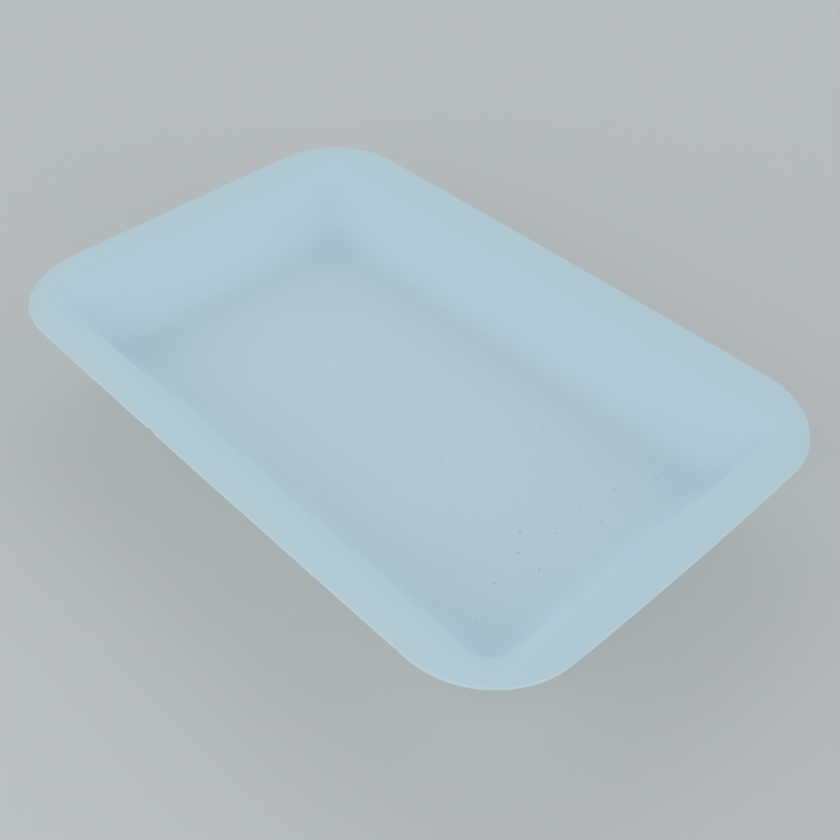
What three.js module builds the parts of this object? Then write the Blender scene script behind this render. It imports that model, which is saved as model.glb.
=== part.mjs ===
// A supermarket foam meat tray: one sheet of expanded polystyrene, pressed into a shallow dish with a flat
// floor, flared walls, corners that open upward and a rim that rolls over and droops outward to its cut edge.
// Millimetres, +Z up. The origin is the middle of the underside, on the surface that the tray stands on,
// +X runs along the length and +Y across the width.
import * as THREE from "three";

// Overall size, measured over the bowed sides and the crest of the rim.
const TRAY_LENGTH = 215;
const TRAY_WIDTH = 140;
const TRAY_HEIGHT = 28.5;

// Plan. Each side bows outward a little between its corners, the rim of each short side dips at its middle,
// and a corner opens from a tight radius at the floor to a wide one at the cut edge, faster the higher it is.
const RIM_CORNER_RADIUS = 26;
const FLOOR_CORNER_RADIUS = 3;
const LONG_SIDE_BOW = 0.6;
const SHORT_SIDE_BOW = 1.4;
const SHORT_SIDE_DIP = 0.7;

// Section through a wall. The sheet thins from the floor to the wall and again to the lip, as it was drawn.
const FLOOR_THICKNESS = 3;
const WALL_THICKNESS = 2.8;
const LIP_THICKNESS = 1.8;
const WALL_ANGLE = THREE.MathUtils.degToRad(68);
const FLOOR_FILLET_RADIUS = 8.5;
const CREST_RADIUS = 7;
const LIP_WIDTH = 6;
const LIP_DROOP = 1.4;

// Facets.
const FILLET_STEPS = 6;
const CREST_STEPS = 7;
const LIP_STEPS = 4;
const EDGE_STEPS = 6;
const CORNER_STEPS = 12;
const SIDE_STEPS = 8;

const { lerp } = THREE.MathUtils;

// The upper face of the sheet from the flat of the floor to the cut edge. A station holds its distance out
// from the flat, its height, the slope of the face there and the thickness of the sheet below it.
function upperFace() {
  const wallRise = TRAY_HEIGHT - FLOOR_THICKNESS
    - (FLOOR_FILLET_RADIUS + CREST_RADIUS) * (1 - Math.cos(WALL_ANGLE));
  const crestOut = (FLOOR_FILLET_RADIUS + CREST_RADIUS) * Math.sin(WALL_ANGLE)
    + wallRise / Math.tan(WALL_ANGLE);
  const lipRadius = (LIP_WIDTH ** 2 + LIP_DROOP ** 2) / (2 * LIP_DROOP);
  const lipSlope = Math.asin(LIP_WIDTH / lipRadius);
  const stations = [];
  for (let i = 0; i <= FILLET_STEPS; i++) {
    const share = i / FILLET_STEPS;
    const slope = WALL_ANGLE * share;
    stations.push({
      out: FLOOR_FILLET_RADIUS * Math.sin(slope),
      height: FLOOR_THICKNESS + FLOOR_FILLET_RADIUS * (1 - Math.cos(slope)),
      slope,
      thickness: lerp(FLOOR_THICKNESS, WALL_THICKNESS, share),
    });
  }
  for (let i = 0; i <= CREST_STEPS; i++) {
    const share = i / CREST_STEPS;
    const slope = WALL_ANGLE * (1 - share);
    stations.push({
      out: crestOut - CREST_RADIUS * Math.sin(slope),
      height: TRAY_HEIGHT - CREST_RADIUS * (1 - Math.cos(slope)),
      slope,
      thickness: lerp(WALL_THICKNESS, LIP_THICKNESS, share),
    });
  }
  for (let i = 1; i <= LIP_STEPS; i++) {
    const slope = (-lipSlope * i) / LIP_STEPS;
    stations.push({
      out: crestOut - lipRadius * Math.sin(slope),
      height: TRAY_HEIGHT - lipRadius * (1 - Math.cos(slope)),
      slope,
      thickness: LIP_THICKNESS,
    });
  }
  return stations;
}

// The point of the sheet that lies a given depth below a station, square to the face.
function below({ out, height, slope }, depth) {
  return { out: out + depth * Math.sin(slope), height: height - depth * Math.cos(slope) };
}

// The section of the sheet, from the flat's upper face over the rim and round its edge to the underside.
function section() {
  const upper = upperFace();
  const last = upper[upper.length - 1];
  const edgeRadius = LIP_THICKNESS / 2;
  const edgeCentre = below(last, edgeRadius);
  const edge = [];
  for (let i = 1; i < EDGE_STEPS; i++) {
    const turn = Math.PI / 2 + last.slope - (Math.PI * i) / EDGE_STEPS;
    edge.push({
      out: edgeCentre.out + edgeRadius * Math.cos(turn),
      height: edgeCentre.height + edgeRadius * Math.sin(turn),
    });
  }
  const lower = upper.map((station) => below(station, station.thickness)).reverse();
  return [...upper, ...edge, ...lower];
}

// Bows the four sides outward, most at their middles and not at all at the corners, and lowers the short
// sides' middles, the more the higher they are above the floor.
function bowed(x, y, height) {
  const acrossX = x / (TRAY_LENGTH / 2 - SHORT_SIDE_BOW);
  const acrossY = y / (TRAY_WIDTH / 2 - LONG_SIDE_BOW);
  const risen = Math.max(0, height - FLOOR_THICKNESS) / (TRAY_HEIGHT - FLOOR_THICKNESS);
  return new THREE.Vector3(
    x + SHORT_SIDE_BOW * acrossX * (1 - acrossY ** 2),
    y + LONG_SIDE_BOW * acrossY * (1 - acrossX ** 2),
    height - SHORT_SIDE_DIP * risen * acrossX ** 2 * (1 - acrossY ** 2),
  );
}

// The ring that a point of the section makes round the plan, anticlockwise. wallRun is the distance from the
// flat of the floor out to the cut edge.
function ringAt({ out, height }, wallRun) {
  const inset = wallRun - out;
  const opening = (out / wallRun) ** 3;
  const radius = lerp(FLOOR_CORNER_RADIUS, RIM_CORNER_RADIUS, opening);
  const centreX = TRAY_LENGTH / 2 - SHORT_SIDE_BOW - inset - radius;
  const centreY = TRAY_WIDTH / 2 - LONG_SIDE_BOW - inset - radius;
  const corners = [[1, 1], [-1, 1], [-1, -1], [1, -1]].map(([signX, signY], quarter) =>
    Array.from({ length: CORNER_STEPS + 1 }, (_, i) => {
      const turn = (Math.PI / 2) * (quarter + i / CORNER_STEPS);
      return new THREE.Vector2(
        signX * centreX + radius * Math.cos(turn),
        signY * centreY + radius * Math.sin(turn),
      );
    }));
  return corners.flatMap((corner, quarter) => {
    const from = corner[CORNER_STEPS];
    const to = corners[(quarter + 1) % 4][0];
    const side = Array.from({ length: SIDE_STEPS - 1 }, (_, i) =>
      from.clone().lerp(to, (i + 1) / SIDE_STEPS));
    return [...corner, ...side];
  }).map(({ x, y }) => bowed(x, y, height));
}

// Lofts the section round the plan and closes the floor between the two flats.
function trayGeometry() {
  const points = section();
  const wallRun = Math.max(...points.map(({ out }) => out));
  const rings = points.map((point) => ringAt(point, wallRun));
  const around = rings[0].length;
  const index = [];
  for (let ring = 0; ring < rings.length - 1; ring++) {
    for (let i = 0; i < around; i++) {
      const here = ring * around + i;
      const beside = ring * around + ((i + 1) % around);
      index.push(here, here + around, beside);
      index.push(beside, here + around, beside + around);
    }
  }
  const flat = rings[0].map(({ x, y }) => new THREE.Vector2(x, y));
  const underside = (rings.length - 1) * around;
  for (const [a, b, c] of THREE.ShapeUtils.triangulateShape(flat, [])) {
    index.push(a, b, c);
    index.push(underside + a, underside + c, underside + b);
  }
  const geometry = new THREE.BufferGeometry().setFromPoints(rings.flat());
  geometry.setIndex(index);
  geometry.computeVertexNormals();
  return geometry;
}

const foam = new THREE.MeshStandardMaterial({ color: 0xb9d0db, roughness: 0.62, metalness: 0 });

const tray = new THREE.Mesh(trayGeometry(), foam);
tray.name = "tray";

const object = new THREE.Group();
object.add(tray);

export default object;
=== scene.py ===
"""Looks of a foam meat tray: one sheet of expanded polystyrene, pressed into a shallow dish with a flat
floor, flared walls, corners that open upward and a rim that rolls over and droops to its cut edge.
Metres, in the frame's axes."""

import math

import bmesh
import bpy
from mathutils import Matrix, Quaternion, Vector, noise


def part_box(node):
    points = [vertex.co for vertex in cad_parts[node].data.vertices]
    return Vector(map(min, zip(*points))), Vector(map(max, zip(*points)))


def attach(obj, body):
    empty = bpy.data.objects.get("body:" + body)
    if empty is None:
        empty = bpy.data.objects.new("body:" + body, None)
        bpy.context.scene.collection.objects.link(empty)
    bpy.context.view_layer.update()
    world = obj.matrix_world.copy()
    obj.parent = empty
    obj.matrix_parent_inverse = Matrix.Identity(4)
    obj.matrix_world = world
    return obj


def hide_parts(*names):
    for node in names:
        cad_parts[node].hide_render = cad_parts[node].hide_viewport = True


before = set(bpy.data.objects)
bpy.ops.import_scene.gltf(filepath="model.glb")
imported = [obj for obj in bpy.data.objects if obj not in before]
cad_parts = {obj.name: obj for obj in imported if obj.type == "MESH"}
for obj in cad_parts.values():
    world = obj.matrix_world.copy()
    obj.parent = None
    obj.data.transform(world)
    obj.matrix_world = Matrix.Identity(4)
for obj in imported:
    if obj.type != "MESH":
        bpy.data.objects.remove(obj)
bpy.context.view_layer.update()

MM = 0.001

# Overall size, from the frame.
TRAY_LOW, TRAY_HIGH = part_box("tray")
TRAY_LENGTH, TRAY_WIDTH, TRAY_HEIGHT = TRAY_HIGH - TRAY_LOW

# Plan: sides that bow outward, short sides that dip, and corners that open faster the higher they are.
RIM_CORNER_RADIUS = 26 * MM
FLOOR_CORNER_RADIUS = 3 * MM
LONG_SIDE_BOW = 0.6 * MM
SHORT_SIDE_BOW = 1.4 * MM
SHORT_SIDE_DIP = 0.7 * MM

# Section through a wall. The sheet runs on past the lip by the edge's width, to a cut with rounded corners.
FLOOR_THICKNESS = 3.0 * MM
WALL_THICKNESS = 2.8 * MM
LIP_THICKNESS = 1.8 * MM
WALL_ANGLE = math.radians(68)
FLOOR_FILLET_RADIUS = 8.5 * MM
CREST_RADIUS = 7 * MM
LIP_WIDTH = 6 * MM
LIP_DROOP = 1.4 * MM
EDGE_WIDTH = 0.7 * MM
EDGE_RADIUS = 0.4 * MM

# Fineness of the mesh: steps along the section, and cells along the sides and round half a corner.
FILLET_STEPS = 8
WALL_STEPS = 8
CREST_STEPS = 9
LIP_STEPS = 5
EDGE_STEPS = 3
LONG_SIDE_CELLS = 130
SHORT_SIDE_CELLS = 68
HALF_CORNER_CELLS = 10

# Unevenness of the pressed sheet: how far the skin and the cut edge wander, and the breadth of a wave. The
# skin's wave carries finer ones, each narrower by the ratio and fainter by its power of the fade.
SKIN_WANDER = 0.03 * MM
SKIN_WAVE = 17 * MM
SKIN_WAVE_FADE = 0.6
SKIN_WAVE_RATIO = 2.0
SKIN_WAVE_OCTAVES = 3
EDGE_WANDER = 0.06 * MM
EDGE_WAVE = 1.6 * MM

# Burst cells in the floor, as x, y, radius and depth, and the profile of one as shares of radius and depth.
PITS_MM = (
    (58.9, -7.9, 0.38, 0.42), (71.7, 35.5, 0.40, 0.42), (66.2, 23.4, 0.40, 0.40), (63.3, -13.4, 0.36, 0.34),
    (71.3, 11.3, 0.36, 0.28), (63.7, 11.3, 0.32, 0.28), (65.9, -0.8, 0.32, 0.26), (71.1, -13.3, 0.32, 0.24),
    (66.2, -25.8, 0.34, 0.24), (15.8, 12.6, 0.34, 0.26), (55.8, 27.2, 0.42, 0.20), (23.6, -3.8, 0.42, 0.18),
    (71.6, -38.0, 0.30, 0.16), (35.6, 27.0, 0.40, 0.18), (55.9, -29.8, 0.30, 0.14), (38.7, -14.6, 0.30, 0.14),
    (38.6, -37.9, 0.32, 0.13), (20.8, -38.4, 0.32, 0.13), (8.9, -37.3, 0.32, 0.13), (59.0, -21.4, 0.30, 0.12),
    (58.8, 6.2, 0.28, 0.10), (49.8, -38.3, 0.30, 0.10), (-31.0, -12.1, 0.38, 0.10),
)
PIT_PROFILE = ((2.4, 0.0), (1.5, -0.14), (1.0, 0.1), (0.72, 0.7), (0.4, 1.0))
PIT_INSET = 0.1
FLAT_TOLERANCE = 0.01 * MM

# The nick in the rim's cut edge, on the long side towards -Y: its middle, half width and depth, how far in
# from the edge it fades out, and the extra columns of the mesh on each side of its middle.
NICK_X = -22 * MM
NICK_HALF_WIDTH = 2.8 * MM
NICK_DEPTH = 0.6 * MM
NICK_REACH = 3 * NICK_DEPTH
NICK_COLUMNS = 2

# Finish of the foam. Tint and roughness of the skin drift between their two values with the mottling. The
# burr carries a painted highlight in beads, standing in for light caught along the edge: a bead is brightest
# out to its core and faintest at its reach, as shares of a cell's size.
SKIN_TINTS = ((0.860, 0.935, 0.965), (0.870, 0.945, 0.970))
SKIN_ROUGHNESS = (0.52, 0.66)
SKIN_SPECULAR = 0.1
# Painted shade: the lip is painted darker and cooler than the walls, standing in for the light that reaches
# it less.
LIP_SHADE_TINT = (0.832, 0.932, 0.950)
# Painted shade: the cut face is painted darker than the skin, standing in for the light its downward face
# misses.
CUT_FACE_SHADE_TINT = (0.700, 0.800, 0.830)
BEAD_HIGHLIGHT_TINT = (0.960, 0.995, 1.000)
BEAD_CORE = 0.15
BEAD_REACH = 0.45
BEAD_FAINTEST = 0.55
# Painted shade: the pits are painted darker, most at their middles, for the shade in their hollows.
PIT_SHADE_TINT = (0.740, 0.840, 0.880)
CELL_SIZE = 0.7 * MM
CELL_BUMP_STRENGTH = 0.35
CELL_BUMP_HEIGHT = 0.06 * MM
MOTTLE_SIZE = 22 * MM
MOTTLE_ROUGHNESS = 0.55

# Camera, measured from the middle of the rim's cut edge, and where it aims on that plane.
CAMERA_OFFSET = Vector((196.1, -173.1, 222.6)) * MM
CAMERA_AIM = Vector((25.2, -13.8, 0)) * MM
CAMERA_ROLL = math.radians(-0.31)
CAMERA_SENSOR = 36
CAMERA_LENS = 50.55

# Studio: a pale floor that reaches this far from its middle, and an even light from all sides.
STUDIO_FLOOR_REACH = 3
STUDIO_FLOOR_TINT = (0.90, 0.81, 0.75)
STUDIO_FLOOR_ROUGHNESS = 0.8
LIGHT_COLOUR = (0.76, 0.905, 1.0)
WORLD_STRENGTH = 0.46

# Soft lights all round: compass angle from +X, height angle, distance in metres and power in watts. Each is
# as wide and as high as these shares of its distance.
LIGHT_WIDTH = 0.85
LIGHT_HEIGHT = 0.5
SOFT_LIGHTS = (
    ("right", 49, 32, 1.5, 1.442),
    ("behind", 139, 32, 1.5, 3.038),
    ("left", 229, 32, 1.5, 1.390),
    ("camera_side", 319, 32, 1.5, 0.979),
    ("low_right", 4, 14, 1.5, 2.060),
    ("low_behind_right", 94, 14, 1.5, 1.133),
    ("low_behind_left", 184, 14, 1.5, 0.567),
    ("low_left", 274, 14, 1.5, 0.979),
    ("high_front", 319, 60, 1.5, 0.309),
    ("near_left", 275, 30, 0.45, 0.155),
)


def lerp(start, end, share):
    return start + (end - start) * share


def wall_stations():
    """The sheet's upper face from the floor's flat to the cut edge: out, height, slope and thickness."""
    bends = (FLOOR_FILLET_RADIUS + CREST_RADIUS) * (1 - math.cos(WALL_ANGLE))
    wall_rise = TRAY_HEIGHT - FLOOR_THICKNESS - bends
    wall_out = wall_rise / math.tan(WALL_ANGLE)
    crest_out = (FLOOR_FILLET_RADIUS + CREST_RADIUS) * math.sin(WALL_ANGLE) + wall_out
    lip_radius = (LIP_WIDTH ** 2 + LIP_DROOP ** 2) / (2 * LIP_DROOP)
    lip_slope = math.asin(LIP_WIDTH / lip_radius)
    stations = []
    for i in range(FILLET_STEPS + 1):
        slope = WALL_ANGLE * i / FILLET_STEPS
        out = FLOOR_FILLET_RADIUS * math.sin(slope)
        height = FLOOR_THICKNESS + FLOOR_FILLET_RADIUS * (1 - math.cos(slope))
        stations.append((out, height, slope, lerp(FLOOR_THICKNESS, WALL_THICKNESS, i / FILLET_STEPS)))
    foot_out, foot_height = stations[-1][:2]
    for i in range(1, WALL_STEPS):
        out = foot_out + wall_out * i / WALL_STEPS
        height = foot_height + wall_rise * i / WALL_STEPS
        stations.append((out, height, WALL_ANGLE, WALL_THICKNESS))
    for i in range(CREST_STEPS + 1):
        slope = WALL_ANGLE * (1 - i / CREST_STEPS)
        out = crest_out - CREST_RADIUS * math.sin(slope)
        height = TRAY_HEIGHT - CREST_RADIUS * (1 - math.cos(slope))
        stations.append((out, height, slope, lerp(WALL_THICKNESS, LIP_THICKNESS, i / CREST_STEPS)))
    for i in range(1, LIP_STEPS + 1):
        slope = -lip_slope * i / LIP_STEPS
        out = crest_out - lip_radius * math.sin(slope)
        height = TRAY_HEIGHT - lip_radius * (1 - math.cos(slope))
        stations.append((out, height, slope, LIP_THICKNESS))
    out, height, slope, thickness = stations[-1]
    cut = (out + EDGE_WIDTH * math.cos(slope), height + EDGE_WIDTH * math.sin(slope), slope, thickness)
    return stations + [cut]


STATIONS = wall_stations()
LIP_END_OUT, LIP_END_HEIGHT, LIP_END_SLOPE, _ = STATIONS[-2]
WALL_RUN = (LIP_END_OUT + (EDGE_WIDTH - EDGE_RADIUS) * math.cos(LIP_END_SLOPE)
            + EDGE_RADIUS * (1 + math.sin(LIP_END_SLOPE)))
LIP_END_CORNER_RADIUS = RIM_CORNER_RADIUS - (WALL_RUN - LIP_END_OUT)
EDGE_HEIGHT = LIP_END_HEIGHT - LIP_THICKNESS / 2 * math.cos(LIP_END_SLOPE)
LENGTH_CELLS = LONG_SIDE_CELLS + 2 * HALF_CORNER_CELLS
WIDTH_CELLS = SHORT_SIDE_CELLS + 2 * HALF_CORNER_CELLS


def sheet_point(share, station):
    """Where a place on the sheet goes at a station. Its shares run from -1 to 1 between opposite sides."""
    out, height = station[:2]
    inset = WALL_RUN - out
    radius = lerp(FLOOR_CORNER_RADIUS, LIP_END_CORNER_RADIUS, min(1, out / LIP_END_OUT) ** 3)
    radius += max(0, out - LIP_END_OUT)
    half_length = TRAY_LENGTH / 2 - SHORT_SIDE_BOW
    half_width = TRAY_WIDTH / 2 - LONG_SIDE_BOW
    straight, turn = [], []
    for half, cells, reach in ((half_length, LENGTH_CELLS, share.x), (half_width, WIDTH_CELLS, share.y)):
        corner_start = 1 - 2 * HALF_CORNER_CELLS / cells
        past = max(0, (abs(reach) - corner_start) / (1 - corner_start))
        straight.append((half - inset - radius) * min(abs(reach) / corner_start, 1))
        turn.append(math.sqrt(2) * math.sin(math.pi / 4 * past))
    x = math.copysign(straight[0] + radius * turn[0] * math.sqrt(1 - turn[1] ** 2 / 2), share.x)
    y = math.copysign(straight[1] + radius * turn[1] * math.sqrt(1 - turn[0] ** 2 / 2), share.y)
    across_x, across_y = x / half_length, y / half_width
    risen = (height - FLOOR_THICKNESS) / (TRAY_HEIGHT - FLOOR_THICKNESS)
    return Vector((
        x + SHORT_SIDE_BOW * across_x * (1 - across_y ** 2),
        y + LONG_SIDE_BOW * across_y * (1 - across_x ** 2),
        height - SHORT_SIDE_DIP * risen * across_x ** 2 * (1 - across_y ** 2),
    ))


def press_upper_face(form):
    """Presses a grid into the sheet's upper face: the floor's flat, then ring after ring up the walls."""
    share = form.verts.layers.float_vector.new("share")
    thickness = form.verts.layers.float.new("thickness")
    bmesh.ops.create_grid(form, x_segments=LENGTH_CELLS, y_segments=WIDTH_CELLS, size=1)
    for vert in form.verts:
        vert[share] = vert.co
    rim = [edge for edge in form.edges if edge.is_boundary]
    for vert in form.verts:
        vert[thickness] = FLOOR_THICKNESS
        vert.co = sheet_point(vert[share], STATIONS[0])
    for station in STATIONS[1:]:
        grown = bmesh.ops.extrude_edge_only(form, edges=rim)["geom"]
        for vert in (part for part in grown if isinstance(part, bmesh.types.BMVert)):
            vert[thickness] = station[3]
            vert.co = sheet_point(vert[share], station)
        rim = [part for part in grown if isinstance(part, bmesh.types.BMEdge) and part.is_boundary]
    bmesh.ops.recalc_face_normals(form, faces=form.faces)
    if form.faces[0].normal.z < 0:
        bmesh.ops.reverse_faces(form, faces=form.faces)
    return rim


def back_with_lower_face(form, rim):
    """Adds the sheet's lower face, parallel to the upper one, and the cut edge between them. The rounded
    corners of the cut edge are marked: the upper one as the burr, which also carries a painted highlight, and
    the lower one for the cut face's painted shade."""
    thickness = form.verts.layers.float["thickness"]
    form.normal_update()
    drops = {vert: vert.normal * vert[thickness] for vert in form.verts}
    copied = bmesh.ops.duplicate(form, geom=form.verts[:] + form.edges[:] + form.faces[:])
    for upper, drop in drops.items():
        copied["vert_map"][upper].co -= drop
    lower_faces = [part for part in copied["geom"] if isinstance(part, bmesh.types.BMFace)]
    bmesh.ops.reverse_faces(form, faces=lower_faces)
    lower_rim = [copied["edge_map"][edge] for edge in rim]
    bmesh.ops.bridge_loops(form, edges=rim + lower_rim)
    for name, loop in (("burr", rim), ("cut_face_shade", lower_rim)):
        mask = form.verts.layers.float.new(name)
        rounded = bmesh.ops.bevel(
            form, geom=loop, offset=EDGE_RADIUS, offset_type="OFFSET", segments=EDGE_STEPS,
            profile=0.5, affect="EDGES", clamp_overlap=False, material=-1)
        for vert in rounded["verts"]:
            vert[mask] = 1


def sink_pits(form):
    """Sinks the burst cells into the floor's upper face, each in the four grid cells round its middle."""
    pit_shade = form.verts.layers.float.new("pit_shade")
    floor_verts = [vert for vert in form.verts if abs(vert.co.z - FLOOR_THICKNESS) < FLAT_TOLERANCE]
    for x, y, radius, depth in PITS_MM:
        middle = Vector((x, y, 0)) * MM
        centre = min(floor_verts, key=lambda vert: (vert.co.xy - middle.xy).length)
        patch = list(centre.link_faces)
        centre.co.xy = middle.xy
        for radius_share, depth_share in PIT_PROFILE:
            bmesh.ops.inset_region(form, faces=patch, thickness=radius * PIT_INSET * MM, depth=0)
            ring = {vert for face in patch for vert in face.verts} - {centre}
            for vert in ring:
                away = (vert.co.xy - middle.xy).normalized() * radius * radius_share * MM
                vert.co = Vector((*(middle.xy + away), FLOOR_THICKNESS - depth * depth_share * MM))
                vert[pit_shade] = max(0, depth_share)
        centre.co.z = FLOOR_THICKNESS - depth * MM
        centre[pit_shade] = 1


def cut_nick(form):
    """Presses the nick into the cut edge, after a few extra columns there."""
    near = [face for face in form.faces
            if face.calc_center_median().y < -TRAY_WIDTH / 2 + LIP_WIDTH
            and abs(face.calc_center_median().x - NICK_X) < 2 * NICK_HALF_WIDTH]
    for step in range(-NICK_COLUMNS, NICK_COLUMNS + 1):
        place = Vector((NICK_X + NICK_HALF_WIDTH * step / NICK_COLUMNS, 0, 0))
        parts = dict.fromkeys(
            part for face in near if face.is_valid for part in (face, *face.edges, *face.verts))
        made = bmesh.ops.bisect_plane(form, geom=list(parts), plane_co=place, plane_no=(1, 0, 0))
        near = [face for face in near if face.is_valid]
        near += [part for part in made["geom"] if isinstance(part, bmesh.types.BMFace)]
    edge_y = -TRAY_WIDTH / 2
    for vert in form.verts:
        aside = abs(vert.co.x - NICK_X) / NICK_HALF_WIDTH
        inward = (vert.co.y - edge_y) / NICK_REACH
        if aside < 1 and inward < 1:
            vert.co.y += NICK_DEPTH * (1 - aside) * (1 - inward)


def wander(form):
    """Lets the skin wander a little, as pressed foam does, except on the face that it stands on."""
    burr = form.verts.layers.float["burr"]
    form.normal_update()
    for vert in form.verts:
        loose = min(1, max(0, vert.co.z / FLOOR_THICKNESS))
        wave = noise.fractal(vert.co / SKIN_WAVE, SKIN_WAVE_FADE, SKIN_WAVE_RATIO, SKIN_WAVE_OCTAVES)
        edge = EDGE_WANDER * vert[burr] * noise.noise(vert.co / EDGE_WAVE)
        vert.co += vert.normal * (SKIN_WANDER * loose * wave + edge)


def make_tray():
    form = bmesh.new()
    rim = press_upper_face(form)
    back_with_lower_face(form, rim)
    cut_nick(form)
    sink_pits(form)
    wander(form)
    for face in form.faces:
        face.smooth = True
    mesh = bpy.data.meshes.new("foam_tray")
    form.to_mesh(mesh)
    form.free()
    tray = bpy.data.objects.new("foam_tray", mesh)
    bpy.context.scene.collection.objects.link(tray)
    return tray


def link(tree, start, end):
    tree.links.new(start, end)


def foam_skin_group():
    """Fine cell print and slow mottling of a pressed foam skin, in object coordinates."""
    group = bpy.data.node_groups.new("foam_skin", "ShaderNodeTree")
    for name, value in (("Cell size", CELL_SIZE), ("Mottle size", MOTTLE_SIZE)):
        socket = group.interface.new_socket(name, in_out="INPUT", socket_type="NodeSocketFloat")
        socket.default_value = value
    for name in ("Height", "Mottle", "Cells"):
        group.interface.new_socket(name, in_out="OUTPUT", socket_type="NodeSocketFloat")
    nodes = group.nodes
    inputs = nodes.new("NodeGroupInput")
    outputs = nodes.new("NodeGroupOutput")
    place = nodes.new("ShaderNodeTexCoord")

    def scale_of(size_name):
        per_metre = nodes.new("ShaderNodeMath")
        per_metre.operation = "DIVIDE"
        per_metre.inputs[0].default_value = 1
        link(group, inputs.outputs[size_name], per_metre.inputs[1])
        return per_metre.outputs[0]

    cells = nodes.new("ShaderNodeTexVoronoi")
    grain = nodes.new("ShaderNodeTexNoise")
    grain.inputs["Detail"].default_value = 1
    mottle = nodes.new("ShaderNodeTexNoise")
    mottle.inputs["Detail"].default_value = 2
    mottle.inputs["Roughness"].default_value = MOTTLE_ROUGHNESS
    for texture, size_name in ((cells, "Cell size"), (grain, "Cell size"), (mottle, "Mottle size")):
        link(group, place.outputs["Object"], texture.inputs["Vector"])
        link(group, scale_of(size_name), texture.inputs["Scale"])
    height = nodes.new("ShaderNodeMix")
    height.data_type = "FLOAT"
    height.inputs["Factor"].default_value = 0.5
    link(group, cells.outputs["Distance"], height.inputs["A"])
    link(group, grain.outputs["Fac"], height.inputs["B"])
    link(group, height.outputs["Result"], outputs.inputs["Height"])
    link(group, mottle.outputs["Fac"], outputs.inputs["Mottle"])
    link(group, cells.outputs["Distance"], outputs.inputs["Cells"])
    return group


def foam_material():
    """Pale blue-white polystyrene foam with a satin skin. The lip and the cut face are painted darker as
    painted shade, the pits get painted shade, and the burr's beads carry a painted highlight.
    """
    material = bpy.data.materials.new("pressed_foam")
    material.use_nodes = True
    tree = material.node_tree
    nodes = tree.nodes
    shader = nodes["Principled BSDF"]
    shader.inputs["Specular IOR Level"].default_value = SKIN_SPECULAR

    skin = nodes.new("ShaderNodeGroup")
    skin.node_tree = foam_skin_group()
    skin.inputs["Cell size"].default_value = CELL_SIZE
    skin.inputs["Mottle size"].default_value = MOTTLE_SIZE

    tint = nodes.new("ShaderNodeMix")
    tint.data_type = "RGBA"
    tint.inputs["A"].default_value = (*SKIN_TINTS[0], 1)
    tint.inputs["B"].default_value = (*SKIN_TINTS[1], 1)
    link(tree, skin.outputs["Mottle"], tint.inputs["Factor"])

    def mask_of(attribute):
        mask = nodes.new("ShaderNodeAttribute")
        mask.attribute_name = attribute
        return mask.outputs["Fac"]

    def shade_over(below, colour, mask):
        shade = nodes.new("ShaderNodeMix")
        shade.data_type = "RGBA"
        shade.inputs["B"].default_value = (*colour, 1)
        link(tree, mask, shade.inputs["Factor"])
        link(tree, below, shade.inputs["A"])
        return shade.outputs["Result"]

    # Painted shade over the crest and lip, ramping in as the sheet thins from wall to lip.
    lip = nodes.new("ShaderNodeMapRange")
    lip.inputs["From Min"].default_value = WALL_THICKNESS
    lip.inputs["From Max"].default_value = LIP_THICKNESS
    link(tree, mask_of("thickness"), lip.inputs["Value"])
    # Painted highlight: bead spots on the burr, brightest at each cell's core.
    beads = nodes.new("ShaderNodeMapRange")
    beads.inputs["From Min"].default_value = BEAD_CORE
    beads.inputs["From Max"].default_value = BEAD_REACH
    beads.inputs["To Min"].default_value = 1
    beads.inputs["To Max"].default_value = BEAD_FAINTEST
    link(tree, skin.outputs["Cells"], beads.inputs["Value"])
    painted_bead_highlight = nodes.new("ShaderNodeMath")
    painted_bead_highlight.operation = "MULTIPLY"
    link(tree, beads.outputs["Result"], painted_bead_highlight.inputs[0])
    link(tree, mask_of("burr"), painted_bead_highlight.inputs[1])
    # Painted shade on the lip, the cut face and the pits, and a painted highlight on the burr's beads, over
    # the mottled tint.
    colour = shade_over(tint.outputs["Result"], LIP_SHADE_TINT, lip.outputs["Result"])
    colour = shade_over(colour, CUT_FACE_SHADE_TINT, mask_of("cut_face_shade"))
    colour = shade_over(colour, BEAD_HIGHLIGHT_TINT, painted_bead_highlight.outputs["Value"])
    colour = shade_over(colour, PIT_SHADE_TINT, mask_of("pit_shade"))
    link(tree, colour, shader.inputs["Base Color"])

    rough = nodes.new("ShaderNodeMapRange")
    rough.inputs["To Min"].default_value = SKIN_ROUGHNESS[0]
    rough.inputs["To Max"].default_value = SKIN_ROUGHNESS[1]
    link(tree, skin.outputs["Mottle"], rough.inputs["Value"])
    link(tree, rough.outputs["Result"], shader.inputs["Roughness"])

    bump = nodes.new("ShaderNodeBump")
    bump.inputs["Strength"].default_value = CELL_BUMP_STRENGTH
    bump.inputs["Distance"].default_value = CELL_BUMP_HEIGHT
    link(tree, skin.outputs["Height"], bump.inputs["Height"])
    link(tree, bump.outputs["Normal"], shader.inputs["Normal"])
    return material


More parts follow.
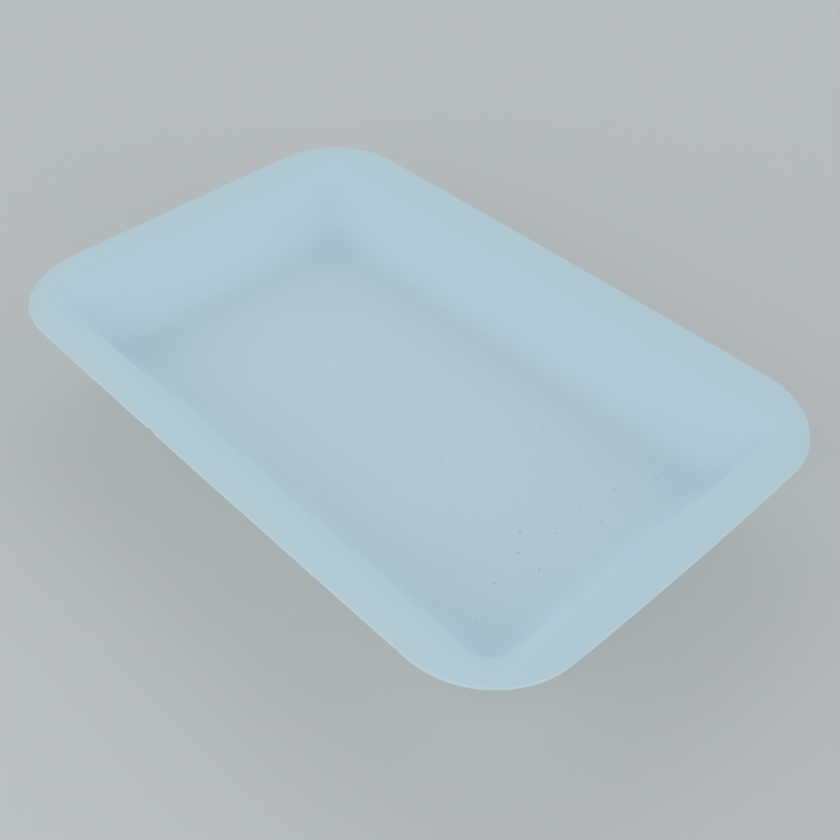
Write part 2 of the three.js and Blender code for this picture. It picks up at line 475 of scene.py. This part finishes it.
def add_floor():
    """A plain pale floor under the tray."""
    slab = bmesh.new()
    bmesh.ops.create_grid(slab, x_segments=1, y_segments=1, size=STUDIO_FLOOR_REACH)
    mesh = bpy.data.meshes.new("studio_floor")
    slab.to_mesh(mesh)
    slab.free()
    floor = bpy.data.objects.new("studio_floor", mesh)
    bpy.context.scene.collection.objects.link(floor)
    material = bpy.data.materials.new("pale_floor")
    material.use_nodes = True
    shader = material.node_tree.nodes["Principled BSDF"]
    shader.inputs["Base Color"].default_value = (*STUDIO_FLOOR_TINT, 1)
    shader.inputs["Roughness"].default_value = STUDIO_FLOOR_ROUGHNESS
    floor.data.materials.append(material)


def add_soft_light(name, azimuth, elevation, distance, power):
    """A large soft light that faces the tray from a compass angle and a height angle, in degrees."""
    turn, lift = math.radians(azimuth), math.radians(elevation)
    away = Vector((math.cos(turn) * math.cos(lift), math.sin(turn) * math.cos(lift), math.sin(lift)))
    data = bpy.data.lights.new(name, "AREA")
    data.shape = "RECTANGLE"
    data.size = LIGHT_WIDTH * distance
    data.size_y = LIGHT_HEIGHT * distance
    data.energy = power
    data.color = LIGHT_COLOUR
    light = bpy.data.objects.new(name, data)
    light.location = away * distance
    light.rotation_mode = "QUATERNION"
    light.rotation_quaternion = away.to_track_quat("Z", "Y")
    bpy.context.scene.collection.objects.link(light)


def add_camera():
    rim_middle = Vector((0, 0, EDGE_HEIGHT))
    camera = bpy.data.objects.new("camera", bpy.data.cameras.new("camera"))
    camera.data.sensor_width = CAMERA_SENSOR
    camera.data.lens = CAMERA_LENS
    camera.location = rim_middle + CAMERA_OFFSET
    aim = rim_middle + CAMERA_AIM - camera.location
    camera.rotation_mode = "QUATERNION"
    camera.rotation_quaternion = aim.to_track_quat("-Z", "Y") @ Quaternion((0, 0, 1), CAMERA_ROLL)
    bpy.context.scene.collection.objects.link(camera)
    bpy.context.scene.camera = camera


def add_world(strength, colour):
    world = bpy.data.worlds.new("studio")
    world.use_nodes = True
    background = world.node_tree.nodes["Background"]
    background.inputs["Color"].default_value = (*colour, 1)
    background.inputs["Strength"].default_value = strength
    bpy.context.scene.world = world


tray = make_tray()
tray.data.materials.append(foam_material())
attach(tray, "root")
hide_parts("tray")

add_floor()
add_camera()
add_world(WORLD_STRENGTH, LIGHT_COLOUR)
for soft_light in SOFT_LIGHTS:
    add_soft_light(*soft_light)
bpy.context.scene.view_settings.view_transform = "Standard"
